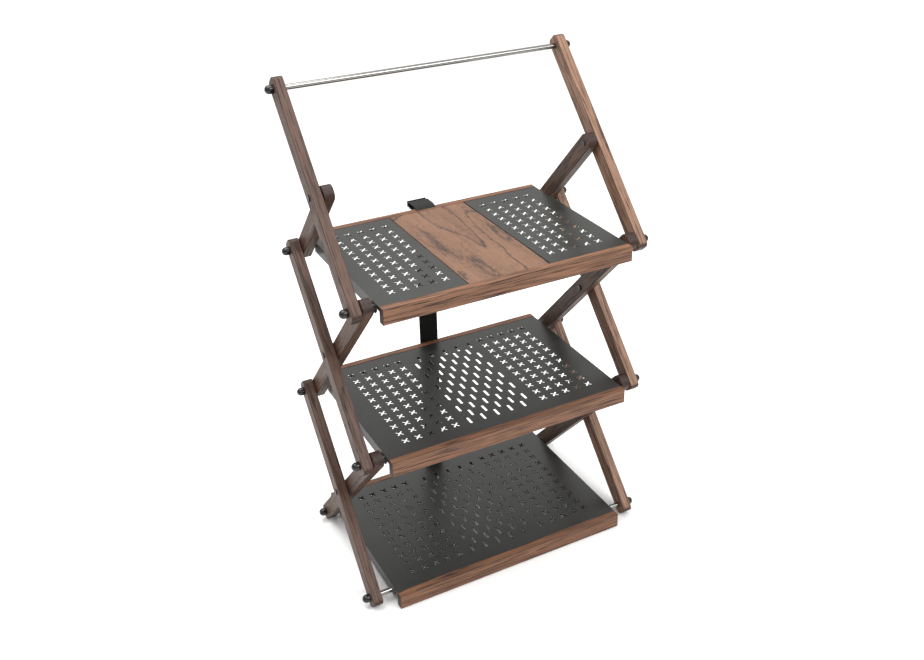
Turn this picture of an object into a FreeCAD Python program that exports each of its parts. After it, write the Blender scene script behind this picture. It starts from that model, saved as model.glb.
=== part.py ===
import FreeCAD, Part
import math
import os
import Sketcher

doc = FreeCAD.newDocument("folding_rack")
sizes = doc.addObject("Spreadsheet::Sheet", "sizes")

# Driving dimensions in millimetres. Heights are above the axis of the rod that carries them.
dimensions = [
    ("arm_length", 400.0, "pivot to pivot along one full arm"),
    ("rod_spread", 272.0, "front rod to rear rod, standing open"),
    ("arm_width", 30.0, "arm width seen from the side"),
    ("arm_thick", 18.5, "arm thickness across the rack"),
    ("arm_over", 18.0, "arm end beyond its pivot"),
    ("arm_corner", 9.0, "rounding of the arm ends"),
    ("arm_crown", 13.0, "rounding of the inner arms' upper ends"),
    ("arm_gap", 1.5, "gap between outer and inner arm"),
    ("edge_round", 1.2, "eased timber edges"),
    ("half_width", 283.0, "middle of the rack to the outer arm face"),
    ("rod_radius", 5.0, "stainless cross rods"),
    ("bore_radius", 5.05, "bores that the rods run in"),
    ("cap_radius", 7.6, "dome cap nuts"),
    ("cap_skirt", 6.5, "straight part of a cap nut"),
    ("cap_grip", 8.0, "rod length inside a cap nut"),
    ("bolt_radius", 3.0, "pivot bolts where the arms cross"),
    ("bolt_bore", 3.05, "bores for the pivot bolts"),
    ("head_radius", 5.5, "pivot bolt heads and nuts"),
    ("head_thick", 2.2, "pivot bolt heads and nuts"),
    ("washer_radius", 9.0, "washers between the arms"),
    ("washer_thick", 1.4, "washers between the arms"),
    ("tray_width", 476.0, "tray over its side brackets"),
    ("plate_top", 10.0, "top of the tray plates"),
    ("plate_thick", 1.0, "tray plates"),
    ("plate_front", 159.0, "front edge of the plates ahead of the middle"),
    ("plate_rear", 160.0, "rear edge of the plates behind the middle"),
    ("rail_depth", 14.0, "timber rails, front to rear"),
    ("rail_top", 10.5, "top of the rails"),
    ("rail_drop", 18.0, "underside of the front rails, below the rod axis"),
    ("rear_drop", 2.0, "underside of the rear rails, below the rod axis"),
    ("ledge_depth", 6.0, "ledge on the rails that carries the plates"),
    ("ledge_half", 218.0, "half length of that ledge"),
    ("rear_ledge", 1.0, "underside of the rear ledge, above the rod axis"),
    ("bracket_thick", 2.0, "side brackets"),
    ("bracket_drop", 10.0, "underside of the side brackets, below the rod axis"),
    ("nose_reach", 9.5, "front end of the side brackets, ahead of the front rod's axis"),
    ("nose_cut", 5.0, "cut lower corner of that end"),
    ("neck_low", 2.0, "underside of the necks to the front tabs, above the rod axis"),
    ("saddle_gap", 0.3, "play between the rear rod and the saddles"),
    ("saddle_front", 6.5, "stop of the saddles, ahead of the rear rod's axis"),
    ("saddle_stop", 1.0, "upper end of that stop, above the rod's axis"),
    ("saddle_lead", 3.0, "flat of the saddles, ahead of the rod's axis"),
    ("saddle_trail", 1.5, "flat of the saddles, behind the rod's axis"),
    ("rear_tab_low", 0.5, "underside of the rear tabs, above the rod axis"),
    ("tab_width", 16.0, "end tabs of the side brackets"),
    ("cross_length", 15.5, "strokes of the cross-shaped holes"),
    ("cross_width", 3.0, "strokes of the cross-shaped holes"),
    ("cross_first", 91.0, "inner column of crosses, trays with one plate"),
    ("cross_first_top", 102.0, "inner column of crosses, top tray"),
    ("cross_pitch", 24.5, "columns of crosses"),
    ("cross_row", 24.7, "rows of crosses"),
    ("cross_shift", 3.0, "middle row of crosses behind the middle"),
    ("slot_length", 20.0, "long holes in the middle of a tray"),
    ("slot_width", 5.0, "long holes in the middle of a tray"),
    ("slot_pitch", 27.8, "long holes across the tray"),
    ("slot_row", 43.2, "every second row of long holes, front to rear"),
    ("slot_left", -62.6, "first long hole of the even rows, across"),
    ("slot_front", -119.5, "first long hole of the even rows, front to rear"),
    ("slot_stagger", 14.0, "odd rows of long holes, shifted across"),
    ("slot_corner", 1.4, "cut corners of the long holes"),
    ("lip_height", 3.0, "down-turned lips of the plates beside the board"),
    ("lip_short", 16.0, "lips shorter than their plates, at each end"),
    ("board_half", 77.5, "half width of the timber board"),
    ("board_thick", 4.5, "timber board"),
    ("board_gap", 1.5, "gap between the board and its plates"),
    ("screw_radius", 1.5, "wood screws in brackets and keepers"),
    ("screw_bore", 1.55, "holes for the wood screws"),
    ("screw_head", 3.2, "wood screws in brackets and keepers"),
    ("screw_head_thick", 1.8, "wood screws in brackets and keepers"),
    ("screw_bite", 8.0, "depth of the wood screws in the rails"),
    ("screw_spare", 0.5, "screw holes deeper than their screws"),
    ("screw_front", 5.2, "screws of the front tabs, above the rod axis"),
    ("screw_rear", 4.5, "screws of the rear tabs, above the rod axis"),
    ("keeper_thick", 1.2, "steel bars that hold the strap to the rear rails"),
    ("keeper_half", 30.0, "half length of those bars"),
    ("keeper_tall", 8.0, "height of those bars"),
    ("keeper_low", 1.0, "underside of those bars, below the rod axis"),
    ("keeper_foot", 4.5, "screws of those bars, from their ends"),
    ("strap_width", 40.0, "pull strap"),
    ("strap_thick", 2.0, "pull strap"),
    ("strap_play", 0.4, "strap to the rear rail, and strap to its keepers"),
    ("loop_depth", 34.0, "hand loop of the strap, front to rear"),
    ("loop_rise", 25.0, "top of the hand loop"),
    ("loop_drop", 8.0, "lower end of the hand loop, below the rod axis"),
    ("loop_top", 11.0, "upper turns of the hand loop"),
    ("loop_under", 12.0, "lower rear turn of the hand loop"),
    ("loop_fold", 3.0, "tight turn of the hand loop at the rail"),
]
for row, (alias, number, note) in enumerate(dimensions, start=1):
    sizes.set("A%d" % row, str(number))
    sizes.setAlias("A%d" % row, alias)
    sizes.set("B%d" % row, note)
doc.recompute()

nodes = []


def size(alias):
    return float(getattr(sizes, alias))


def bind(obj, **expressions):
    """Binds properties; a double underscore in a name stands for a dot."""
    for name, text in expressions.items():
        path = name.replace("__", ".")
        obj.setExpression(path, text)


slope = math.degrees(math.acos(size("rod_spread") / size("arm_length")))
tier = math.sqrt(size("arm_length") ** 2 - size("rod_spread") ** 2)
tier_text = "sqrt(sizes.arm_length ^ 2 - sizes.rod_spread ^ 2)"
half_spread = size("rod_spread") / 2
corner_reach = size("arm_over") - size("arm_corner")
corner_side = size("arm_width") / 2 - size("arm_corner")
foot = (corner_reach * math.sin(math.radians(slope))
        + corner_side * math.cos(math.radians(slope)) + size("arm_corner"))
rail_front = size("plate_front") + size("rail_depth")
rail_back = size("plate_rear") + size("rail_depth")
strap_front = rail_back + size("strap_play")
loop_back = strap_front + size("loop_depth")
# The frame sits on the floor, centred between the front rails and the back of the hand loop.
shift = (loop_back - rail_front) / 2
outer_inner = size("half_width") - size("arm_thick")
inner_outer = outer_inner - size("arm_gap")
inner_inner = inner_outer - size("arm_thick")


def level(number):
    return foot + number * tier


def place(obj, x=0.0, y=0.0, z=0.0, turn=0.0, axis=(1, 0, 0)):
    """Places an object given from the middle between the rods and the floor."""
    rotation = FreeCAD.Rotation(FreeCAD.Vector(*axis), turn)
    obj.Placement = FreeCAD.Placement(FreeCAD.Vector(x, y - shift, z), rotation)


def keep(obj, name):
    obj.Label = name
    nodes.append(obj)
    return obj


def plane(body, role):
    return next(item for item in body.Origin.OriginFeatures if item.Role == role)


def sketch_on(body, role):
    sketch = body.newObject("Sketcher::SketchObject", "sketch")
    sketch.AttachmentSupport = (plane(body, role), "")
    sketch.MapMode = "FlatFace"
    return sketch


def sketch_outline(sketch, points):
    """A closed outline whose corners are held by named, bound distances."""
    first = sketch.GeometryCount
    count = len(points)
    for index in range(count):
        here = points[index]
        there = points[(index + 1) % count]
        start = FreeCAD.Vector(here[0], here[2], 0)
        end = FreeCAD.Vector(there[0], there[2], 0)
        sketch.addGeometry(Part.LineSegment(start, end), False)
    for index in range(count):
        following = first + (index + 1) % count
        sketch.addConstraint(Sketcher.Constraint("Coincident", first + index, 2, following, 1))
    for index in range(count):
        across, across_text, up, up_text = points[index]
        for kind, value, text in (("DistanceX", across, across_text), ("DistanceY", up, up_text)):
            number = sketch.addConstraint(Sketcher.Constraint(kind, -1, 1, first + index, 1, value))
            sketch.setExpression("Constraints[%d]" % number, text)


def sketch_circle(sketch, across, across_text, radius, radius_text):
    centre = FreeCAD.Vector(across, 0, 0)
    circle = sketch.addGeometry(Part.Circle(centre, FreeCAD.Vector(0, 0, 1), radius), False)
    sketch.addConstraint(Sketcher.Constraint("PointOnObject", circle, 3, -1))
    number = sketch.addConstraint(Sketcher.Constraint("DistanceX", -1, 1, circle, 3, across))
    sketch.setExpression("Constraints[%d]" % number, across_text)
    number = sketch.addConstraint(Sketcher.Constraint("Radius", circle, radius))
    sketch.setExpression("Constraints[%d]" % number, radius_text)


def pad(body, sketch, text):
    feature = body.newObject("PartDesign::Pad", "pad")
    feature.Profile = sketch
    feature.setExpression("Length", text)
    sketch.Visibility = False
    return feature


def round_edges(body, base, edges, text):
    feature = body.newObject("PartDesign::Fillet", "fillet")
    feature.Base = (base, edges)
    feature.setExpression("Radius", text)
    doc.recompute()
    return feature


def edge_names(shape, wanted):
    return ["Edge%d" % (n + 1) for n, edge in enumerate(shape.Edges) if wanted(edge)]


def arm(name, side, inner, number, short=False):
    """One timber arm, modelled along +Y from its lower pivot and then leant into place."""
    length = size("arm_length")
    crossing = length / 2
    over = size("arm_over")
    half = size("arm_width") / 2
    reach = crossing if short else length
    reach_text = "sizes.arm_length / 2" if short else "sizes.arm_length"
    body = doc.addObject("PartDesign::Body", name)
    sketch = sketch_on(body, "YZ_Plane")
    sketch_outline(sketch, [
        (-over, "-sizes.arm_over", -half, "-sizes.arm_width / 2"),
        (reach + over, reach_text + " + sizes.arm_over", -half, "-sizes.arm_width / 2"),
        (reach + over, reach_text + " + sizes.arm_over", half, "sizes.arm_width / 2"),
        (-over, "-sizes.arm_over", half, "sizes.arm_width / 2"),
    ])
    sketch_circle(sketch, 0.0, "0", size("bore_radius"), "sizes.bore_radius")
    sketch_circle(sketch, crossing, "sizes.arm_length / 2", size("bolt_bore"), "sizes.bolt_bore")
    if not short:
        sketch_circle(sketch, length, "sizes.arm_length", size("bore_radius"), "sizes.bore_radius")
    solid = pad(body, sketch, "sizes.arm_thick")
    doc.recompute()
    thick = size("arm_thick")

    def corner(edge):
        ends = [vertex.Point for vertex in edge.Vertexes]
        return len(ends) == 2 and abs(abs(ends[0].x - ends[1].x) - thick) < 0.01 \
            and abs(abs(ends[0].z) - half) < 0.01

    def rim(edge):
        box = edge.BoundBox
        flat = box.XLength < 0.001
        return flat and (box.YLength > 10 or box.ZLength > 3.5) and len(edge.Vertexes) == 2

    def upper(edge):
        return corner(edge) and edge.CenterOfMass.y > crossing

    def lower(edge):
        return corner(edge) and edge.CenterOfMass.y < crossing

    feet = round_edges(body, solid, edge_names(solid.Shape, lower), "sizes.arm_corner")
    crown = "sizes.arm_crown" if inner else "sizes.arm_corner"
    ends = round_edges(body, feet, edge_names(feet.Shape, upper), crown)
    round_edges(body, ends, edge_names(ends.Shape, rim), "sizes.edge_round")
    outside = inner_outer if inner else size("half_width")
    inside = inner_inner if inner else outer_inner
    start = inside if side > 0 else -outside
    if inner:
        place(body, x=start, y=half_spread, z=level(number), turn=180 - slope)
    else:
        place(body, x=start, y=-half_spread, z=level(number), turn=slope)
    return keep(body, name)


def rod(name, y, z, half_text):
    """A cross rod along X, its ends inside the cap nuts."""
    bar = doc.addObject("Part::Cylinder", name)
    bind(bar, Radius="sizes.rod_radius", Height="2 * (%s + sizes.cap_grip)" % half_text)
    doc.recompute()
    place(bar, x=-bar.Height.Value / 2, y=y, z=z, turn=90, axis=(0, 1, 0))
    return keep(bar, name)


def cap_nut(side, face_text):
    """A domed cap nut with a blind bore, pointing away from the rack."""
    skirt = doc.addObject("Part::Cylinder", "skirt")
    bind(skirt, Radius="sizes.cap_radius", Height="sizes.cap_skirt")
    dome = doc.addObject("Part::Sphere", "dome")
    bind(dome, Radius="sizes.cap_radius", Placement__Base__z="sizes.cap_skirt")
    dome.Angle1 = 0
    body = doc.addObject("Part::Fuse", "cap")
    body.Base = skirt
    body.Tool = dome
    hole = doc.addObject("Part::Cylinder", "blind_bore")
    bind(hole, Radius="sizes.bore_radius", Height="sizes.cap_grip + 0.5")
    nut = doc.addObject("Part::Cut", "cap_nut")
    nut.Base = body
    nut.Tool = hole
    nut.Placement.Rotation = FreeCAD.Rotation(FreeCAD.Vector(0, 1, 0), 90 * side)
    nut.setExpression("Placement.Base.x", "%d * (%s)" % (side, face_text))
    return nut


def ring(side, inside_text, radius_text, bore_text, length_text):
    """A washer or collar on the X axis, from its inner face outward."""
    outer = doc.addObject("Part::Cylinder", "ring_outside")
    bind(outer, Radius=radius_text, Height=length_text)
    hole = doc.addObject("Part::Cylinder", "ring_bore")
    bind(hole, Radius=bore_text, Height=length_text)
    cut = doc.addObject("Part::Cut", "ring")
    cut.Base = outer
    cut.Tool = hole
    cut.Placement.Rotation = FreeCAD.Rotation(FreeCAD.Vector(0, 1, 0), 90 * side)
    cut.setExpression("Placement.Base.x", "%d * (%s)" % (side, inside_text))
    return cut


def group(name, parts, y, z):
    bundle = doc.addObject("Part::Compound", name)
    bundle.Links = parts
    place(bundle, y=y, z=z)
    return keep(bundle, name)


outer_face = "sizes.half_width"
inner_face = "sizes.half_width - sizes.arm_thick - sizes.arm_gap"
arm_space = "sizes.half_width - sizes.arm_thick - sizes.arm_gap + (sizes.arm_gap - sizes.washer_thick) / 2"


def cap_nuts(name, y, z, face_text):
    return group(name, [cap_nut(-1, face_text), cap_nut(1, face_text)], y, z)


def washers(name, y, z, bore_text):
    pair = [ring(side, arm_space, "sizes.washer_radius", bore_text, "sizes.washer_thick")
            for side in (-1, 1)]
    return group(name, pair, y, z)


def pivot_bolt(side):
    """A bolt through both arms: low head outside, flat nut inside."""
    inside = "sizes.half_width - 2 * sizes.arm_thick - sizes.arm_gap"
    shank = doc.addObject("Part::Cylinder", "shank")
    bind(shank, Radius="sizes.bolt_radius",
         Height="2 * (sizes.arm_thick + sizes.head_thick) + sizes.arm_gap")
    head = doc.addObject("Part::Cylinder", "head")
    bind(head, Radius="sizes.head_radius", Height="sizes.head_thick",
         Placement__Base__z="2 * sizes.arm_thick + sizes.arm_gap + sizes.head_thick")
    nut = doc.addObject("Part::Cylinder", "nut")
    bind(nut, Radius="sizes.head_radius", Height="sizes.head_thick")
    bolt = doc.addObject("Part::MultiFuse", "pivot_bolt")
    bolt.Shapes = [shank, head, nut]
    bolt.Placement.Rotation = FreeCAD.Rotation(FreeCAD.Vector(0, 1, 0), 90 * side)
    bolt.setExpression("Placement.Base.x", "%d * (%s - sizes.head_thick)" % (side, inside))
    return bolt


def pivot_bolts(name, z):
    return group(name, [pivot_bolt(-1), pivot_bolt(1)], 0.0, z)


def box(name, x_text, y_text, z_text, length_text, depth_text, height_text):
    block = doc.addObject("Part::Box", name)
    bind(block, Length=length_text, Width=depth_text, Height=height_text,
         Placement__Base__x=x_text, Placement__Base__y=y_text, Placement__Base__z=z_text)
    return block


def eased(base, wanted):
    """Timber edges eased with the edge_round of the sheet."""
    doc.recompute()
    feature = doc.addObject("Part::Fillet", "eased")
    feature.Base = base
    radius = size("edge_round")
    feature.Edges = [(n + 1, radius, radius) for n, edge in enumerate(base.Shape.Edges) if wanted(edge)]
    base.Visibility = False
    doc.recompute()
    return feature


def joined(parts):
    union = doc.addObject("Part::MultiFuse", "joined")
    union.Shapes = parts
    return union


def along_y(x_text, y_text, z_text, radius_text, length_text):
    """A round bar along Y, from the stated point rearward."""
    bar = doc.addObject("Part::Cylinder", "bar")
    bind(bar, Radius=radius_text, Height=length_text, Placement__Base__x=x_text,
         Placement__Base__y=y_text, Placement__Base__z=z_text)
    bar.Placement.Rotation = FreeCAD.Rotation(FreeCAD.Vector(1, 0, 0), -90)
    return bar


def screw_spots(rear, sides=(-1, 1)):
    """Where the bracket tabs are screwed to a rail: across, and height, as expressions."""
    height = "sizes.screw_rear" if rear else "sizes.screw_front"
    return [("%d * (sizes.tray_width / 2 - sizes.tab_width / 2)" % side, height) for side in sides]


def screw_holes(rear, sides=(-1, 1)):
    start = "sizes.plate_rear - sizes.bracket_thick" if rear \
        else "-sizes.plate_front - sizes.screw_bite - sizes.screw_spare"
    length = "sizes.bracket_thick + sizes.screw_bite + sizes.screw_spare"
    return [along_y(across, start, height, "sizes.screw_bore", length)
            for across, height in screw_spots(rear, sides)]


def tray_screws(name, number):
    """The wood screws of one tray: two in the front rail, two in the rear rail."""
    screws = []
    for rear in (False, True):
        shank_y = "sizes.plate_rear - sizes.bracket_thick" if rear \
            else "-sizes.plate_front - sizes.screw_bite"
        head_y = "sizes.plate_rear - sizes.bracket_thick - sizes.screw_head_thick" if rear \
            else "-sizes.plate_front + sizes.bracket_thick"
        for across, height in screw_spots(rear):
            shank = along_y(across, shank_y, height, "sizes.screw_radius",
                            "sizes.bracket_thick + sizes.screw_bite")
            head = along_y(across, head_y, height, "sizes.screw_head", "sizes.screw_head_thick")
            screws.append(joined([shank, head]))
    return group(name, screws, 0.0, level(number))


keeper_screw_x = ("-sizes.keeper_half + sizes.keeper_foot", "sizes.keeper_half - sizes.keeper_foot")
keeper_screw_z = "(sizes.keeper_tall / 2 - sizes.keeper_low)"
keeper_back = "(sizes.plate_rear + sizes.rail_depth + sizes.strap_thick + 2 * sizes.strap_play" \
    " + sizes.keeper_thick)"


def keeper_holes():
    start = "sizes.plate_rear + sizes.rail_depth - sizes.screw_bite - sizes.screw_spare"
    length = "sizes.screw_bite + sizes.screw_spare + sizes.keeper_half / 4"
    return [along_y(across, start, keeper_screw_z, "sizes.screw_bore", length)
            for across in keeper_screw_x]


def strap_keeper(name, number):
    """A steel bar with two feet on the rear rail, and its two screws; the strap runs inside."""
    face = "sizes.plate_rear + sizes.rail_depth"
    gap = "sizes.strap_thick + 2 * sizes.strap_play"
    inside = "(sizes.strap_width / 2 + sizes.strap_play)"
    bar = box("keeper_bar", "-sizes.keeper_half", face, "-sizes.keeper_low",
              "2 * sizes.keeper_half", gap + " + sizes.keeper_thick", "sizes.keeper_tall")
    way = box("strap_way", "-" + inside, face, "-sizes.keeper_low", "2 * " + inside, gap, "sizes.keeper_tall")
    formed = doc.addObject("Part::Cut", "keeper")
    formed.Base = bar
    formed.Tool = joined([way] + keeper_holes())
    screws = []
    for across in keeper_screw_x:
        shank = along_y(across, face + " - sizes.screw_bite", keeper_screw_z, "sizes.screw_radius",
                        "sizes.screw_bite + " + gap + " + sizes.keeper_thick")
        head = along_y(across, keeper_back, keeper_screw_z, "sizes.screw_head",
                       "sizes.screw_head_thick")
        screws.append(joined([shank, head]))
    return group(name, [formed] + screws, 0.0, level(number))


def rail(name, number, rear, board):
    """A timber rail: a bar with a lower ledge behind it for the plates, and for the board."""
    bar_y = "sizes.plate_rear" if rear else "-sizes.plate_front - sizes.rail_depth"
    drop = "sizes.rear_drop" if rear else "sizes.rail_drop"
    bar = box("bar", "-sizes.tray_width / 2", bar_y, "-" + drop,
              "sizes.tray_width", "sizes.rail_depth", "sizes.rail_top + " + drop)
    doc.recompute()
    far = size("plate_rear") + size("rail_depth") if rear else -size("plate_front") - size("rail_depth")

    def outside(edge):
        return abs(edge.CenterOfMass.y - far) < 0.01

    bar = eased(bar, outside)
    ledge_y = "sizes.plate_rear - sizes.ledge_depth" if rear else "-sizes.plate_front"
    low = "sizes.rear_ledge" if rear else "-sizes.rail_drop"
    plate_seat = "sizes.plate_top - sizes.plate_thick - (%s)" % low
    ledge = box("ledge", "-sizes.ledge_half", ledge_y, low,
                "2 * sizes.ledge_half", "sizes.ledge_depth", plate_seat)
    whole = doc.addObject("Part::Fuse", "rail")
    whole.Base = bar
    whole.Tool = ledge
    if board:
        seat_half = "(sizes.board_half + sizes.board_gap / 2)"
        seat = box("seat", "-" + seat_half, ledge_y, "sizes.plate_top - sizes.board_thick",
                   "2 * " + seat_half, "sizes.ledge_depth", "sizes.board_thick")
        seated = doc.addObject("Part::Cut", "seated_rail")
        seated.Base = whole
        seated.Tool = seat
        whole = seated
    pierced = doc.addObject("Part::Cut", name)
    pierced.Base = whole
    pierced.Tool = joined(screw_holes(rear) + (keeper_holes() if rear else []))
    place(pierced, z=level(number))
    return keep(pierced, name)


def bracket(side):
    """A side bracket: pierced for the front rod, open saddle over the rear rod."""
    body = doc.addObject("PartDesign::Body", "bracket")
    sketch = sketch_on(body, "YZ_Plane")
    front = -size("plate_front")
    rear = size("plate_rear")
    top = size("plate_top") - size("plate_thick")
    low = -size("bracket_drop")
    crown = size("rod_radius") + size("saddle_gap")
    stop = half_spread - size("saddle_front")
    nose = -half_spread - size("nose_reach")
    nose_text = "-sizes.rod_spread / 2 - sizes.nose_reach"
    spread = "sizes.rod_spread / 2"
    crown_text = "sizes.rod_radius + sizes.saddle_gap"
    top_text = "sizes.plate_top - sizes.plate_thick"
    sketch_outline(sketch, [
        (front, "-sizes.plate_front", size("neck_low"), "sizes.neck_low"),
        (nose, nose_text, size("neck_low"), "sizes.neck_low"),
        (nose, nose_text, low + size("nose_cut"), "sizes.nose_cut - sizes.bracket_drop"),
        (nose + size("nose_cut"), nose_text + " + sizes.nose_cut", low, "-sizes.bracket_drop"),
        (stop, spread + " - sizes.saddle_front", low, "-sizes.bracket_drop"),
        (stop, spread + " - sizes.saddle_front", size("saddle_stop"), "sizes.saddle_stop"),
        (half_spread - size("saddle_lead"), spread + " - sizes.saddle_lead", crown, crown_text),
        (half_spread + size("saddle_trail"), spread + " + sizes.saddle_trail", crown, crown_text),
        (rear, "sizes.plate_rear", -size("rear_drop"), "-sizes.rear_drop"),
        (rear, "sizes.plate_rear", top, top_text),
        (front, "-sizes.plate_front", top, top_text),
    ])
    sketch_circle(sketch, -half_spread, "-" + spread, size("bore_radius"), "sizes.bore_radius")
    pad(body, sketch, "sizes.bracket_thick")
    doc.recompute()
    start = "sizes.tray_width / 2 - sizes.bracket_thick" if side > 0 else "-sizes.tray_width / 2"
    body.setExpression("Placement.Base.x", start)
    tab_x = "sizes.tray_width / 2 - sizes.tab_width" if side > 0 else "-sizes.tray_width / 2"
    front_tab = box("front_tab", tab_x, "-sizes.plate_front", "sizes.neck_low",
                    "sizes.tab_width", "sizes.bracket_thick", top_text + " - sizes.neck_low")
    rear_tab = box("rear_tab", tab_x, "sizes.plate_rear - sizes.bracket_thick",
                   "sizes.rear_tab_low", "sizes.tab_width", "sizes.bracket_thick",
                   top_text + " - sizes.rear_tab_low")
    pierced = doc.addObject("Part::Cut", "side_bracket")
    pierced.Base = joined([body, front_tab, rear_tab])
    pierced.Tool = joined(screw_holes(False, [side]) + screw_holes(True, [side]))
    return pierced


def brackets(name, number):
    return group(name, [bracket(-1), bracket(1)], 0.0, level(number))


def plate_blank(left_text, length_text):
    """The flat blank of a tray plate, before it is punched."""
    return box("blank", left_text, "-sizes.plate_front", "0", length_text,
               "sizes.plate_front + sizes.plate_rear", "sizes.plate_thick")


def spaced(body, role, count, step_text):
    """Repeats along one axis of the body, a fixed step apart."""
    line = body.newObject("PartDesign::LinearPattern", "spaced")
    line.Direction = (plane(body, role), [""])
    line.Mode = "Spacing"
    line.Occurrences = count
    line.setExpression("Offset", step_text)
    return line


def punches(points, start, turn, columns, rows, step_text, row_text):
    """A field of punches for one shape of hole, repeated across and front to rear."""
    body = doc.addObject("PartDesign::Body", "punches")
    body.AllowCompound = True
    sketch = sketch_on(body, "XY_Plane")
    sketch.AttachmentOffset = FreeCAD.Placement(
        FreeCAD.Vector(0, 0, 0), FreeCAD.Rotation(FreeCAD.Vector(0, 0, 1), turn))
    sketch.setExpression("AttachmentOffset.Base.x", start[0])
    sketch.setExpression("AttachmentOffset.Base.y", start[1])
    sketch_outline(sketch, points)
    punch = pad(body, sketch, "sizes.plate_thick")
    pattern = body.newObject("PartDesign::MultiTransform", "field")
    pattern.Originals = [punch]
    across = spaced(body, "X_Axis", columns, step_text)
    rearward = spaced(body, "Y_Axis", rows, row_text)
    pattern.Transformations = [across, rearward]
    body.Tip = pattern
    doc.recompute()
    if len(body.Shape.Solids) != columns * rows:
        raise ValueError("a field of holes is incomplete")
    return body


def cross_points():
    """A cross with square ends, before it is turned by 45 degrees."""
    far = size("cross_length") / 2
    near = size("cross_width") / 2
    texts = {far: "sizes.cross_length / 2", near: "sizes.cross_width / 2"}
    spots = [(near, near), (far, near), (far, -near), (near, -near), (near, -far), (-near, -far),
             (-near, -near), (-far, -near), (-far, near), (-near, near), (-near, far), (near, far)]
    return [signed_point(across, up, texts) for across, up in spots]


def slot_points():
    """A long hole with cut corners."""
    half = size("slot_length") / 2
    side = size("slot_width") / 2
    cut = size("slot_corner")
    texts = {half: "sizes.slot_length / 2", side: "sizes.slot_width / 2",
             half - cut: "(sizes.slot_length / 2 - sizes.slot_corner)",
             side - cut: "(sizes.slot_width / 2 - sizes.slot_corner)"}
    spots = [(side, half - cut), (side, -half + cut), (side - cut, -half), (-side + cut, -half),
             (-side, -half + cut), (-side, half - cut), (-side + cut, half), (side - cut, half)]
    return [signed_point(across, up, texts) for across, up in spots]


def signed_point(across, up, texts):
    def text(value):
        return ("-" if value < 0 else "") + texts[abs(value)]
    return (across, text(across), up, text(up))


def crosses(first_text):
    """A field of crosses from the given left-hand column."""
    row_start = "sizes.cross_shift - 5 * sizes.cross_row"
    return punches(cross_points(), (first_text, row_start), 45, 5, 11,
                   "sizes.cross_pitch", "sizes.cross_row")


def slots(left_text, front_text):
    """Every second row of the long holes."""
    return punches(slot_points(), (left_text, front_text), 0, 5, 6,
                   "sizes.slot_pitch", "sizes.slot_row")


def punched(blank, fields):
    """A plate with all its holes, checked against the volume that they take away."""
    holes = doc.addObject("Part::Compound", "holes")
    holes.Links = fields
    plate = doc.addObject("Part::Cut", "plate")
    plate.Base = blank
    plate.Tool = holes
    plate.Refine = False
    doc.recompute()
    removed = blank.Shape.Volume - plate.Shape.Volume
    if abs(removed - holes.Shape.Volume) > 1:
        raise ValueError("the holes of a plate are incomplete")
    return plate


def whole_plate():
    """A tray plate with a field of crosses at each side and long holes in the middle."""
    return punched(plate_blank("-sizes.tray_width / 2", "sizes.tray_width"), [
        crosses("-sizes.cross_first - 4 * sizes.cross_pitch"),
        crosses("sizes.cross_first"),
        slots("sizes.slot_left", "sizes.slot_front"),
        slots("sizes.slot_left + sizes.slot_stagger", "sizes.slot_front + sizes.slot_row / 2"),
    ])


def side_plate(side):
    """A narrow plate of the top tray, beside the timber board."""
    seam = "(sizes.board_half + sizes.board_gap)"
    left = seam if side > 0 else "-sizes.tray_width / 2"
    first = "sizes.cross_first_top" if side > 0 else "-sizes.cross_first_top - 4 * sizes.cross_pitch"
    lip_x = seam if side > 0 else "-%s - sizes.plate_thick" % seam
    lip = box("lip", lip_x, "-sizes.plate_front + sizes.lip_short", "-sizes.lip_height",
              "sizes.plate_thick", "sizes.plate_front + sizes.plate_rear - 2 * sizes.lip_short",
              "sizes.lip_height + sizes.plate_thick")
    blank = joined([plate_blank(left, "sizes.tray_width / 2 - " + seam), lip])
    return punched(blank, [crosses(first)])


def laid(name, plate, number):
    """A finished plate on its tray."""
    sheet = doc.addObject("Part::Compound", name)
    sheet.Links = [plate]
    place(sheet, z=level(number) + size("plate_top") - size("plate_thick"))
    return keep(sheet, name)


def board(name):
    panel = box("panel", "-sizes.board_half", "-sizes.plate_front", "sizes.plate_top - sizes.board_thick",
                "2 * sizes.board_half", "sizes.plate_front + sizes.plate_rear", "sizes.board_thick")
    doc.recompute()
    top = size("plate_top")
    half = size("board_half")

    def long_top(edge):
        centre = edge.CenterOfMass
        return abs(centre.z - top) < 0.01 and abs(abs(centre.x) - half) < 0.01

    whole = eased(panel, long_top)
    place(whole, z=level(2))
    return keep(whole, name)


def strap_span(name, lower, top_above):
    """A straight length of webbing behind the rear rails, from one tray to the next."""
    band = box(name, "0", "0", "0", "sizes.strap_width", "sizes.strap_thick", top_above)
    for path in ("Placement.Base.x", "Placement.Base.y", "Placement.Base.z"):
        band.setExpression(path, None)
    place(band, x=-size("strap_width") / 2, y=strap_front, z=level(lower) - size("rear_drop"))
    return keep(band, name)


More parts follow.
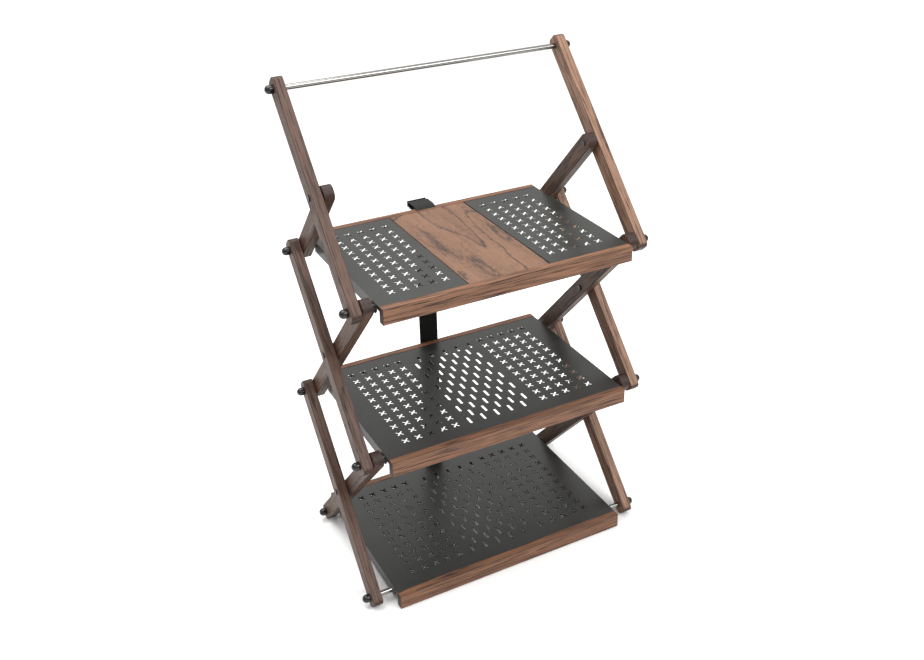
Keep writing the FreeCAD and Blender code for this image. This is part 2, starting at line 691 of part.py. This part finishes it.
def strap_loop(name):
    """The hand loop: a closed band, folded tight where it meets the rail."""
    def outline(inset_text, inset):
        block = box("turns", "-sizes.strap_width / 2",
                    "sizes.plate_rear + sizes.rail_depth + sizes.strap_play + " + inset_text,
                    "-sizes.loop_drop + " + inset_text, "sizes.strap_width",
                    "sizes.loop_depth - 2 * " + inset_text,
                    "sizes.loop_rise + sizes.loop_drop - 2 * " + inset_text)
        doc.recompute()
        edges = []
        for number, edge in enumerate(block.Shape.Edges, start=1):
            centre = edge.CenterOfMass
            if centre.z > 0:
                turn = size("loop_top")
            elif centre.y > rail_back + size("loop_depth") / 2:
                turn = size("loop_under")
            else:
                turn = size("loop_fold")
            if edge.BoundBox.XLength > 1:
                edges.append((number, turn - inset, turn - inset))
        rounded = doc.addObject("Part::Fillet", "rounded")
        rounded.Base = block
        rounded.Edges = edges
        return rounded

    band = doc.addObject("Part::Cut", name)
    band.Base = outline("0", 0.0)
    band.Tool = outline("sizes.strap_thick", size("strap_thick"))
    place(band, z=level(2))
    return keep(band, name)


def tray(prefix, number):
    """What every tray has; the plates differ."""
    brackets(prefix + "_tray_brackets", number)
    rail(prefix + "_tray_front_rail", number, False, number == 2)
    rail(prefix + "_tray_rear_rail", number, True, number == 2)
    tray_screws(prefix + "_tray_screws", number)
    strap_keeper(prefix + "_strap_keeper", number)


tiers = ("bottom", "middle", "top")
for number, prefix in enumerate(tiers):
    for side, hand in ((-1, "left"), (1, "right")):
        arm("outer_arm_%s_%s" % (prefix, hand), side, False, number)
        arm("inner_arm_%s_%s" % (prefix, hand), side, True, number, short=number == 2)
    pivot_bolts("pivot_bolts_" + prefix, level(number + 0.5))
    washers("pivot_washers_" + prefix, 0.0, level(number + 0.5), "sizes.bolt_bore")
    rear_face = inner_face if number == 0 else outer_face
    rod("front_rod_" + prefix, -half_spread, level(number), outer_face)
    rod("rear_rod_" + prefix, half_spread, level(number), rear_face)
    cap_nuts("front_cap_nuts_" + prefix, -half_spread, level(number), outer_face)
    cap_nuts("rear_cap_nuts_" + prefix, half_spread, level(number), rear_face)
    if number > 0:
        washers("front_rod_washers_" + prefix, -half_spread, level(number), "sizes.bore_radius")
        washers("rear_rod_washers_" + prefix, half_spread, level(number), "sizes.bore_radius")
    tray(prefix, number)

rod("top_bar", half_spread, level(3), outer_face)
cap_nuts("top_bar_cap_nuts", half_spread, level(3), outer_face)
wide_plate = whole_plate()
laid("bottom_tray_plate", wide_plate, 0)
laid("middle_tray_plate", wide_plate, 1)
laid("top_tray_plate_left", side_plate(-1), 2)
laid("top_tray_plate_right", side_plate(1), 2)
board("top_tray_board")
strap_span("strap_lower", 0, tier_text)
strap_span("strap_upper", 1, tier_text + " + sizes.rear_drop - sizes.loop_drop")
strap_loop("strap_loop")

doc.recompute()
for obj in doc.Objects:
    if "Invalid" in obj.State or "Error" in obj.State:
        raise ValueError("%s is %s" % (obj.Label, obj.State))
os.makedirs("parts", exist_ok=True)
for obj in nodes:
    if obj.Shape.isNull() or not obj.Shape.isValid() or not obj.Shape.Solids:
        raise ValueError("%s has no valid solid" % obj.Label)
    obj.Shape.exportStep("parts/%s.step" % obj.Label)
print(len(nodes), "nodes written")
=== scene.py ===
import math

import bpy
from mathutils import Matrix, Vector


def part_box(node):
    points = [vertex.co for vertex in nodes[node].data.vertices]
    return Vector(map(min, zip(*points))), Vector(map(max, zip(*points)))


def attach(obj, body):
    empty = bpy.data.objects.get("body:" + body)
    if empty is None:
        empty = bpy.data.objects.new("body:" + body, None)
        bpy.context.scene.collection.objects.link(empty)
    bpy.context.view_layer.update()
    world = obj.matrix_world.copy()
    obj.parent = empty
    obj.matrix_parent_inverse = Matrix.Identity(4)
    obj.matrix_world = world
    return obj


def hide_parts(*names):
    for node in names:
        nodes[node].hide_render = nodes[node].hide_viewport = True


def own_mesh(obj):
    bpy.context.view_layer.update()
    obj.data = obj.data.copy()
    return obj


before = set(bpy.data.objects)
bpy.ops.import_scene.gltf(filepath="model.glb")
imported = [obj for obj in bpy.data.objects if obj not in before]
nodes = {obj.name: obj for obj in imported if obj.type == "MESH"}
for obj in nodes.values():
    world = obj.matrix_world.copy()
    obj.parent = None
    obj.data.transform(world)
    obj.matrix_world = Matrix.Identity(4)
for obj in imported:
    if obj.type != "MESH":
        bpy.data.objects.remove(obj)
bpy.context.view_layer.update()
millimetre = 0.001


def linear(hexColour):
    # sRGB hex to the linear values that the shaders take
    parts = [int(hexColour[i:i + 2], 16) / 255 for i in (1, 3, 5)]
    return [p / 12.92 if p <= 0.04045 else ((p + 0.055) / 1.055) ** 2.4 for p in parts] + [1.0]


def newMaterial(name):
    material = bpy.data.materials.new(name)
    material.use_nodes = True
    tree = material.node_tree
    return material, tree, tree.nodes["Principled BSDF"]


def addNode(tree, kind, links=None, values=None, **settings):
    # one node, its settings, its fixed inputs and what feeds it
    node = tree.nodes.new(kind)
    for key, value in settings.items():
        setattr(node, key, value)
    for key, value in (values or {}).items():
        node.inputs[key].default_value = value
    for key, source in (links or {}).items():
        tree.links.new(source, node.inputs[key])
    return node


def addRamp(tree, factor, stops):
    ramp = addNode(tree, "ShaderNodeValToRGB", {"Fac": factor})
    band = ramp.color_ramp
    while len(band.elements) < len(stops):
        band.elements.new(0.5)
    for element, (place, colour) in zip(band.elements, stops):
        element.position = place
        element.color = linear(colour) if isinstance(colour, str) else [colour] * 3 + [1.0]
    return ramp.outputs["Color"]


def addMix(tree, factor, first, second, blend="MIX"):
    mix = tree.nodes.new("ShaderNodeMix")
    mix.data_type = "RGBA"
    mix.blend_type = blend
    for index, source in ((0, factor), (6, first), (7, second)):
        if hasattr(source, "links"):
            tree.links.new(source, mix.inputs[index])
        else:
            mix.inputs[index].default_value = source
    return mix.outputs[2]


# Walnut-stained ash, planed and oiled: open pores drink the stain and read as dark dashes along
# the grain, late wood is darker than early wood, and sawn ends go nearly black-brown, from the
# stain they drink and from painted shade. Real pores
# are about 0.3 mm wide: they are drawn over 1 mm wide so that they show. The left outer arms and
# the inner arms carry painted shade, the right outer arms painted light.
# Lengths and widths of the grain are in millimetres, and each figure is cut by its own rings.
armSlope = math.atan2(
    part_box("rear_rod_middle")[0].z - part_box("front_rod_bottom")[0].z,
    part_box("rear_rod_middle")[0].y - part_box("front_rod_bottom")[0].y)
quarter = math.pi / 2
timber = {
    "early": "#6d4c38", "late": "#48301f", "pore": "#1c110b", "end": "#2b1b14",
    "edge": "#2c130b", "poreLength": 34, "poreWidth": 1.15, "roughness": 0.5,
    "lateFrom": 0.5, "lateTo": 0.88, "poreAmount": 0.5, "ragged": 0.4, "gloss": 0.4,
    "figureLength": 300, "figureWidth": 12, "rings": 6,
    "tearLength": 14, "tearWidth": 3, "cloudLength": 120, "cloudWidth": 16,
    "fibreLength": 9, "fibreWidth": 0.5, "fibreDepth": 0.15, "edgeRadius": 3,
}
# the left outer arms take darker colours as painted shade, the right outer arms lighter colours
# as painted light
leftArmShadedLook = dict(timber, early="#594034", late="#3a2920")
rightArmLitLook = dict(timber, early="#906d57", late="#624635")
# the inner arms, under the trays, take darker colours as painted shade
innerArmShadedLook = dict(timber, early="#573d2e", late="#37251b")
railLook = dict(timber, early="#80583f", late="#5a3c29", poreLength=48, poreWidth=1.1,
                poreAmount=0.49, figureLength=420, figureWidth=9, rings=7)
panelLook = dict(timber, early="#775743", late="#3f312a", lateFrom=0.78, lateTo=0.95,
                 poreAmount=0.57, poreLength=16, poreWidth=1.3, ragged=0.65,
                 figureLength=340, figureWidth=95, rings=7)


def stainedAsh(name, turn, look):
    # turn lays the grain, which runs along X in the pattern, along the piece
    material, tree, shader = newMaterial(name)
    place = addNode(tree, "ShaderNodeTexCoord")
    along = addNode(tree, "ShaderNodeMapping", {"Vector": place.outputs["Object"]},
                    {"Rotation": turn}).outputs["Vector"]
    facing = addNode(tree, "ShaderNodeMapping", {"Vector": place.outputs["Normal"]},
                     {"Rotation": turn}, vector_type="NORMAL").outputs["Vector"]

    def stretched(pattern):
        length, width = look[pattern + "Length"], look[pattern + "Width"]
        scale = (1000 / length, 1000 / width, 1000 / width)
        mapped = addNode(tree, "ShaderNodeMapping", {"Vector": along}, {"Scale": scale})
        return mapped.outputs["Vector"]

    figure = addNode(tree, "ShaderNodeTexNoise", {"Vector": stretched("figure")},
                     {"Scale": 1.0, "Detail": 1.5, "Roughness": 0.45, "Distortion": 0.2})
    # late wood has a ragged edge, where the pores of the next ring break into it
    ragged = addNode(tree, "ShaderNodeTexNoise", {"Vector": stretched("tear")},
                     {"Scale": 1.0, "Detail": 2.0})
    torn = addNode(tree, "ShaderNodeMath", {0: ragged.outputs["Fac"]}, {1: look["ragged"] / 2},
                   operation="MULTIPLY")
    counted = addNode(tree, "ShaderNodeMath", {0: figure.outputs["Fac"], 2: torn.outputs[0]},
                      {1: look["rings"]}, operation="MULTIPLY_ADD")
    ring = addNode(tree, "ShaderNodeMath", {0: counted.outputs[0]}, operation="FRACT")
    ringTone = addRamp(tree, ring.outputs[0], [
        (0.0, look["early"]), (look["lateFrom"], look["early"]), (look["lateTo"], look["late"]),
        (1.0, look["early"])])

    pores = addNode(tree, "ShaderNodeTexNoise", {"Vector": stretched("pore")},
                    {"Scale": 1.0, "Detail": 1.0, "Roughness": 0.6})
    poreMask = addRamp(tree, pores.outputs["Fac"], [
        (look["poreAmount"], 0.0), (look["poreAmount"] + 0.12, 1.0)])
    porousRing = addRamp(tree, ring.outputs[0], [(0.25, 0.25), (0.8, 1.0), (0.98, 0.5)])
    poreDepth = addMix(tree, 1.0, poreMask, porousRing, "MULTIPLY")
    withPores = addMix(tree, poreDepth, ringTone, linear(look["pore"]))

    cloud = addNode(tree, "ShaderNodeTexNoise", {"Vector": stretched("cloud")},
                    {"Scale": 1.0, "Detail": 3.0, "Roughness": 0.6})
    cloudTone = addRamp(tree, cloud.outputs["Fac"], [(0.3, 0.72), (0.55, 1.0), (0.75, 1.12)])
    toned = addMix(tree, 1.0, withPores, cloudTone, "MULTIPLY")

    split = addNode(tree, "ShaderNodeSeparateXYZ", {"Vector": facing})
    # end faces are coloured nearly black-brown: end grain drinks more stain, and the dark colour
    # also holds painted shade
    square = addNode(tree, "ShaderNodeMath", {0: split.outputs["X"]}, operation="ABSOLUTE")
    endGrainAndShadeMask = addRamp(tree, square.outputs[0], [(0.45, 0.0), (0.95, 1.0)])
    endGrainAndShaded = addMix(tree, endGrainAndShadeMask, toned, linear(look["end"]))

    # handling darkens the eased edges: there the softened normal leaves all three grain planes
    soft = addNode(tree, "ShaderNodeBevel", values={"Radius": look["edgeRadius"] * millimetre},
                   samples=4)
    local = addNode(tree, "ShaderNodeVectorTransform", {"Vector": soft.outputs["Normal"]},
                    vector_type="NORMAL", convert_from="WORLD", convert_to="OBJECT")
    turned = addNode(tree, "ShaderNodeMapping", {"Vector": local.outputs["Vector"]},
                     {"Rotation": turn}, vector_type="NORMAL")
    bare = addNode(tree, "ShaderNodeVectorMath", {0: turned.outputs["Vector"]},
                   operation="ABSOLUTE")
    parts = addNode(tree, "ShaderNodeSeparateXYZ", {"Vector": bare.outputs["Vector"]})
    pair = addNode(tree, "ShaderNodeMath", {0: parts.outputs["X"], 1: parts.outputs["Y"]},
                   operation="MAXIMUM")
    flattest = addNode(tree, "ShaderNodeMath", {0: pair.outputs[0], 1: parts.outputs["Z"]},
                       operation="MAXIMUM")
    edgeMask = addRamp(tree, flattest.outputs[0], [(0.8, 0.9), (0.985, 0.0)])
    edged = addMix(tree, edgeMask, endGrainAndShaded, linear(look["edge"]))
    tree.links.new(edged, shader.inputs["Base Color"])

    gloss = addRamp(tree, poreDepth, [(0.0, look["roughness"]), (1.0, 0.75)])
    tree.links.new(gloss, shader.inputs["Roughness"])
    fibre = addNode(tree, "ShaderNodeTexNoise", {"Vector": stretched("fibre")},
                    {"Scale": 1.0, "Detail": 2.0})
    depth = addMix(tree, 0.75, fibre.outputs["Color"], poreDepth, "SUBTRACT")
    bump = addNode(tree, "ShaderNodeBump", {"Height": depth},
                   {"Strength": 0.5, "Distance": look["fibreDepth"] * millimetre})
    tree.links.new(bump.outputs["Normal"], shader.inputs["Normal"])
    shader.inputs["Specular IOR Level"].default_value = look["gloss"]
    return material


# Polyester powder coat, satin dark grey: a fine orange peel breaks up the highlight.
coat = {
    "colour": "#1f1f1c", "tint": "#252521", "peel": 0.9, "depth": 0.05, "roughness": 0.37,
    "gloss": 0.68,
}


def powderCoat(name, look):
    material, tree, shader = newMaterial(name)
    place = addNode(tree, "ShaderNodeTexCoord")
    cloud = addNode(tree, "ShaderNodeTexNoise", {"Vector": place.outputs["Object"]},
                    {"Scale": 22.0, "Detail": 3.0})
    tone = addRamp(tree, cloud.outputs["Fac"], [(0.35, look["colour"]), (0.7, look["tint"])])
    tree.links.new(tone, shader.inputs["Base Color"])
    peel = addNode(tree, "ShaderNodeTexNoise", {"Vector": place.outputs["Object"]},
                   {"Scale": 1000 / look["peel"], "Detail": 1.0})
    bump = addNode(tree, "ShaderNodeBump", {"Height": peel.outputs["Fac"]},
                   {"Strength": 0.25, "Distance": look["depth"] * millimetre})
    tree.links.new(bump.outputs["Normal"], shader.inputs["Normal"])
    rough = addRamp(tree, cloud.outputs["Fac"], [
        (0.3, look["roughness"] - 0.03), (0.7, look["roughness"] + 0.05)])
    tree.links.new(rough, shader.inputs["Roughness"])
    shader.inputs["Specular IOR Level"].default_value = look["gloss"]
    return material


# Stainless bar, centreless ground: bright, with very fine rings round the bar.
bar = {"colour": "#8a8986", "ring": 0.5, "roughness": 0.16}


def groundStainless(name, look):
    material, tree, shader = newMaterial(name)
    place = addNode(tree, "ShaderNodeTexCoord")
    rings = addNode(tree, "ShaderNodeMapping", {"Vector": place.outputs["Object"]},
                    {"Scale": (1000 / look["ring"], 30, 30)})
    grind = addNode(tree, "ShaderNodeTexNoise", {"Vector": rings.outputs["Vector"]},
                    {"Scale": 1.0, "Detail": 2.0})
    rough = addRamp(tree, grind.outputs["Fac"], [
        (0.3, look["roughness"] - 0.02), (0.7, look["roughness"] + 0.03)])
    tree.links.new(rough, shader.inputs["Roughness"])
    bump = addNode(tree, "ShaderNodeBump", {"Height": grind.outputs["Fac"]},
                   {"Strength": 0.04, "Distance": 0.01 * millimetre})
    tree.links.new(bump.outputs["Normal"], shader.inputs["Normal"])
    shader.inputs["Base Color"].default_value = linear(look["colour"])
    shader.inputs["Metallic"].default_value = 1.0
    return material


# Moulded or blackened small parts: the colour is even, the gloss is what tells them apart.
smallParts = {
    "mouldedCap": {"colour": "#0c0c0d", "roughness": 0.2, "grit": 1.4, "depth": 0.02},
    "nylonWasher": {"colour": "#161616", "roughness": 0.5, "grit": 0.6, "depth": 0.02},
    "blackOxide": {"colour": "#1b1a19", "roughness": 0.38, "grit": 0.5, "depth": 0.01},
}


def blackPart(name, look):
    material, tree, shader = newMaterial(name)
    place = addNode(tree, "ShaderNodeTexCoord")
    grit = addNode(tree, "ShaderNodeTexNoise", {"Vector": place.outputs["Object"]},
                   {"Scale": 1000 / look["grit"], "Detail": 2.0})
    rough = addRamp(tree, grit.outputs["Fac"], [
        (0.3, look["roughness"] - 0.04), (0.7, look["roughness"] + 0.08)])
    tree.links.new(rough, shader.inputs["Roughness"])
    bump = addNode(tree, "ShaderNodeBump", {"Height": grit.outputs["Fac"]},
                   {"Strength": 0.3, "Distance": look["depth"] * millimetre})
    tree.links.new(bump.outputs["Normal"], shader.inputs["Normal"])
    shader.inputs["Base Color"].default_value = linear(look["colour"])
    return material


# Polypropylene webbing: flat ribs run across it and each one catches a soft line of light.
webbing = {
    "colour": "#101010", "paintedRibHighlight": "#1f1f1e", "rib": 1.6, "warp": 1.1, "roughness": 0.62,
    "gloss": 0.25, "fuzz": 0.06, "relief": 0.25,
}


def wovenWebbing(name, look):
    material, tree, shader = newMaterial(name)
    place = addNode(tree, "ShaderNodeTexCoord")
    # the piece's own UV map is in metres: across, then along
    ribs = addNode(tree, "ShaderNodeMapping", {"Vector": place.outputs["UV"]},
                   {"Scale": (1000 / look["warp"], 1000 / look["rib"], 1)})
    checks = addNode(tree, "ShaderNodeSeparateXYZ", {"Vector": ribs.outputs["Vector"]})

    def wave(source):
        swing = addNode(tree, "ShaderNodeMath", {0: source}, {1: math.pi}, operation="MULTIPLY")
        height = addNode(tree, "ShaderNodeMath", {0: swing.outputs[0]}, operation="SINE")
        return height.outputs[0]

    acrossWave, alongWave = wave(checks.outputs["X"]), wave(checks.outputs["Y"])
    plain = addNode(tree, "ShaderNodeMath", {0: acrossWave, 1: alongWave}, operation="MULTIPLY")
    raised = addNode(tree, "ShaderNodeMath", {0: plain.outputs[0]}, {1: 0.5, 2: 0.5},
                     operation="MULTIPLY_ADD")
    # raised ribs are coloured lighter than the hollows: a painted highlight on each rib and
    # painted shade between them
    tone = addRamp(tree, raised.outputs[0], [(0.2, look["colour"]), (0.9, look["paintedRibHighlight"])])
    tree.links.new(tone, shader.inputs["Base Color"])
    bump = addNode(tree, "ShaderNodeBump", {"Height": raised.outputs[0]},
                   {"Strength": 0.8, "Distance": look["relief"] * millimetre})
    tree.links.new(bump.outputs["Normal"], shader.inputs["Normal"])
    shader.inputs["Roughness"].default_value = look["roughness"]
    shader.inputs["Specular IOR Level"].default_value = look["gloss"]
    shader.inputs["Sheen Weight"].default_value = look["fuzz"]
    shader.inputs["Sheen Roughness"].default_value = 0.4
    return material


outerTurn = (-armSlope, 0, -quarter)
leftShadedTimber = stainedAsh("stainedAshLeftArmsPaintedShade", outerTurn, leftArmShadedLook)
rightLitTimber = stainedAsh("stainedAshRightArmsPaintedLight", outerTurn, rightArmLitLook)
innerShadedTimber = stainedAsh("stainedAshInnerArmsPaintedShade", (armSlope, 0, -quarter), innerArmShadedLook)
railTimber = stainedAsh("stainedAshRails", (0, 0, 0), railLook)
boardTimber = stainedAsh("stainedAshBoard", (0, 0, -quarter), panelLook)
trayCoat = powderCoat("satinPowderCoat", coat)
rodSteel = groundStainless("groundStainlessBar", bar)
capPlastic = blackPart("mouldedBlackCap", smallParts["mouldedCap"])
washerNylon = blackPart("blackNylonWasher", smallParts["nylonWasher"])
boltOxide = blackPart("blackOxideSteel", smallParts["blackOxide"])
strapCloth = wovenWebbing("blackWovenWebbing", webbing)
print("materials made")

# which finish each CAD node takes, by the words in its name
finishes = [
    ("plate", trayCoat),
    ("inner_arm", innerShadedTimber), ("_left", leftShadedTimber), ("_right", rightLitTimber),
    ("rail", railTimber),
    ("board", boardTimber), ("cap_nuts", capPlastic), ("washers", washerNylon),
    ("bolts", boltOxide), ("screws", boltOxide), ("keeper", trayCoat),
    ("brackets", trayCoat), ("rod", rodSteel), ("top_bar", rodSteel), ("strap", strapCloth),
]
for name, node in nodes.items():
    finish = next(material for words, material in finishes if words in name)
    for slot in node.material_slots:
        slot.material = finish
print("finishes given")


def deselectAll():
    if bpy.context.object and bpy.context.object.mode != "OBJECT":
        bpy.ops.object.mode_set(mode="OBJECT")
    bpy.ops.object.select_all(action="DESELECT")


def placeInMesh(piece):
    # the object goes to the origin, unturned and unscaled
    deselectAll()
    piece.select_set(True)
    bpy.context.view_layer.objects.active = piece
    bpy.ops.object.transform_apply(location=True, rotation=True, scale=True)


# The pull strap is 40 mm webbing, 2 mm thick, in one run behind the rear rails. It is drawn a
# little slimmer than its solid, so that it stays inside it.
strap = {"width": 0.0396, "thick": 0.0017, "columns": 12, "step": 0.006, "edge": 0.0005,
         "smooth": math.radians(50)}


def bandStart(name, y, z, length):
    # an upright strip facing the front, its lower edge at z
    deselectAll()
    rows = max(1, round(length / strap["step"]))
    bpy.ops.mesh.primitive_grid_add(x_subdivisions=strap["columns"], y_subdivisions=rows, size=1,
                                    location=(0, y, z + length / 2), rotation=(quarter, 0, 0))
    band = bpy.context.object
    band.name = name
    band.scale = (strap["width"], length, 1)
    placeInMesh(band)
    return band


def bandFinish(band):
    # UV in metres, then thickness and soft edges
    deselectAll()
    bpy.context.view_layer.objects.active = band
    band.select_set(True)
    solid = band.modifiers.new("thickness", "SOLIDIFY")
    solid.thickness = strap["thick"]
    solid.offset = 0
    bpy.ops.object.modifier_apply(modifier="thickness")
    soft = band.modifiers.new("softEdges", "BEVEL")
    soft.width = strap["edge"]
    soft.segments = 2
    soft.limit_method = "ANGLE"
    bpy.ops.object.modifier_apply(modifier="softEdges")
    bpy.ops.object.shade_smooth_by_angle(angle=strap["smooth"])
    band.data.materials.clear()
    band.data.materials.append(strapCloth)


def laidUv(band):
    # rows of the band run in order, so the length along it adds up row by row
    count = strap["columns"] + 1
    points = [v.co.copy() for v in band.data.vertices]
    lengths = [0.0]
    for row in range(1, len(points) // count):
        lengths.append(lengths[-1] + (points[row * count] - points[(row - 1) * count]).length)
    layer = band.data.uv_layers.active or band.data.uv_layers.new(name="UVMap")
    for corner in band.data.loops:
        vertex = corner.vertex_index
        layer.data[corner.index].uv = (points[vertex].x, lengths[vertex // count])


def strapSpan(name, node, body):
    low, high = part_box(node)
    middle = (low.y + high.y) / 2
    band = bandStart(name, middle, low.z, high.z - low.z)
    laidUv(band)
    bandFinish(band)
    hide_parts(node)
    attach(band, body)
    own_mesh(band)


strapSpan("pullStrapLower", "strap_lower", "bottom_tray")
strapSpan("pullStrapUpper", "strap_upper", "middle_tray")
print("strap spans laid")

# The hand loop: up from the rail, over and down behind it, and back under to a fold where its
# tail is sewn to the strap.
loop = {"over": 0.010, "under": 0.011, "fold": 0.002, "turnSteps": 10, "weld": 0.0001}


def strapLoop():
    low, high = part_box("strap_loop")
    half = strap["thick"] / 2
    front, rear = low.y + half, high.y - half
    top, bottom = high.z - half, low.z + half
    band = bandStart("pullStrapLoop", front, bottom + loop["fold"], top - loop["over"]
                     - bottom - loop["fold"])

    def edgeOfBand():
        # the row of vertices made last
        bpy.ops.object.mode_set(mode="OBJECT")
        last = len(band.data.vertices) - strap["columns"] - 1
        for part in (band.data.edges, band.data.polygons):
            for item in part:
                item.select = False
        for vertex in band.data.vertices:
            vertex.select = vertex.index >= last
        for edge in band.data.edges:
            edge.select = all(i >= last for i in edge.vertices)
        bpy.ops.object.mode_set(mode="EDIT")
        bpy.ops.mesh.select_mode(type="EDGE")

    def turn(y, z):
        edgeOfBand()
        bpy.ops.mesh.spin(steps=loop["turnSteps"], angle=-quarter, center=(0, y, z),
                          axis=(1, 0, 0))

    def straight(dy, dz):
        edgeOfBand()
        bpy.ops.mesh.extrude_region_move(TRANSFORM_OT_translate={"value": (0, dy, dz)})

    turn(front + loop["over"], top - loop["over"])
    straight(rear - front - 2 * loop["over"], 0)
    turn(rear - loop["over"], top - loop["over"])
    straight(0, bottom + loop["under"] - (top - loop["over"]))
    turn(rear - loop["under"], bottom + loop["under"])
    straight(front + loop["fold"] - (rear - loop["under"]), 0)
    turn(front + loop["fold"], bottom + loop["fold"])
    bpy.ops.object.mode_set(mode="OBJECT")
    laidUv(band)
    bpy.ops.object.mode_set(mode="EDIT")
    bpy.ops.mesh.select_all(action="SELECT")
    bpy.ops.mesh.remove_doubles(threshold=loop["weld"])
    bpy.ops.mesh.normals_make_consistent(inside=False)
    bpy.ops.object.mode_set(mode="OBJECT")
    bandFinish(band)
    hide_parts("strap_loop")
    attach(band, "top_tray")


strapLoop()
print("hand loop bent")

# Plain pale studio: one wide key from the front right, a wide light overhead, and a surround that
# is bright above and dim near the horizon.
studio = {
    "floor": "#fdfdfc", "floorSize": 30, "above": 1.15, "level": 0.22, "aimHeight": 0.45,
}
deselectAll()
bpy.ops.mesh.primitive_plane_add(size=studio["floorSize"], location=(0, 0, 0))
floor = bpy.context.object
floor.name = "studioFloor"
paper, paperTree, paperShader = newMaterial("studioPaper")
paperShader.inputs["Base Color"].default_value = linear(studio["floor"])
paperShader.inputs["Roughness"].default_value = 0.9
floor.data.materials.append(paper)
world = bpy.data.worlds.new("studioWorld")
world.use_nodes = True
sky = world.node_tree
upward = addNode(sky, "ShaderNodeSeparateXYZ", {
    "Vector": addNode(sky, "ShaderNodeTexCoord").outputs["Generated"]})
glow = addRamp(sky, upward.outputs["Z"], [(0.05, studio["level"]), (0.6, 1.0)])
sky.links.new(glow, sky.nodes["Background"].inputs["Color"])
sky.nodes["Background"].inputs["Strength"].default_value = studio["above"]
bpy.context.scene.world = world

lamps = {
    "keyLight": {"at": (1.2, -2.4, 2.8), "size": 1.8, "power": 55},
    "topLight": {"at": (-0.4, 0.4, 3.0), "size": 2.2, "power": 60},
}
for name, look in lamps.items():
    light = bpy.data.lights.new(name, "AREA")
    light.shape = "DISK"
    light.size = look["size"]
    light.energy = look["power"]
    lamp = bpy.data.objects.new(name, light)
    lamp.location = look["at"]
    aim = Vector((0, 0, studio["aimHeight"])) - Vector(look["at"])
    lamp.rotation_euler = aim.to_track_quat("-Z", "Y").to_euler()
    bpy.context.collection.objects.link(lamp)

# Where the camera stands, in metres and degrees.
view = {
    "at": (-0.78984, -1.55673, 1.39392), "azimuth": -27.765, "elevation": 26.696, "roll": -0.995,
    "lens": 41.471, "film": 36, "shift": (-0.01636, -0.04790),
}


def standCamera(look):
    turn, lift, roll = (math.radians(look[key]) for key in ("azimuth", "elevation", "roll"))
    level = math.cos(lift)
    back = Vector((math.sin(turn) * level, -math.cos(turn) * level, math.sin(lift)))
    right = (-back).cross(Vector((0, 0, 1))).normalized()
    up = right.cross(-back)
    across = math.cos(roll) * right + math.sin(roll) * up
    above = math.cos(roll) * up - math.sin(roll) * right
    lens = bpy.data.cameras.new("studioCamera")
    lens.lens = look["lens"]
    lens.sensor_width = look["film"]
    lens.shift_x, lens.shift_y = look["shift"]
    lens.clip_start = 0.05
    camera = bpy.data.objects.new("studioCamera", lens)
    facing = Matrix((across, above, back)).transposed().to_4x4()
    camera.matrix_world = Matrix.Translation(look["at"]) @ facing
    bpy.context.collection.objects.link(camera)
    bpy.context.scene.camera = camera


standCamera(view)
bpy.context.scene.view_settings.view_transform = "Standard"
print("studio set")
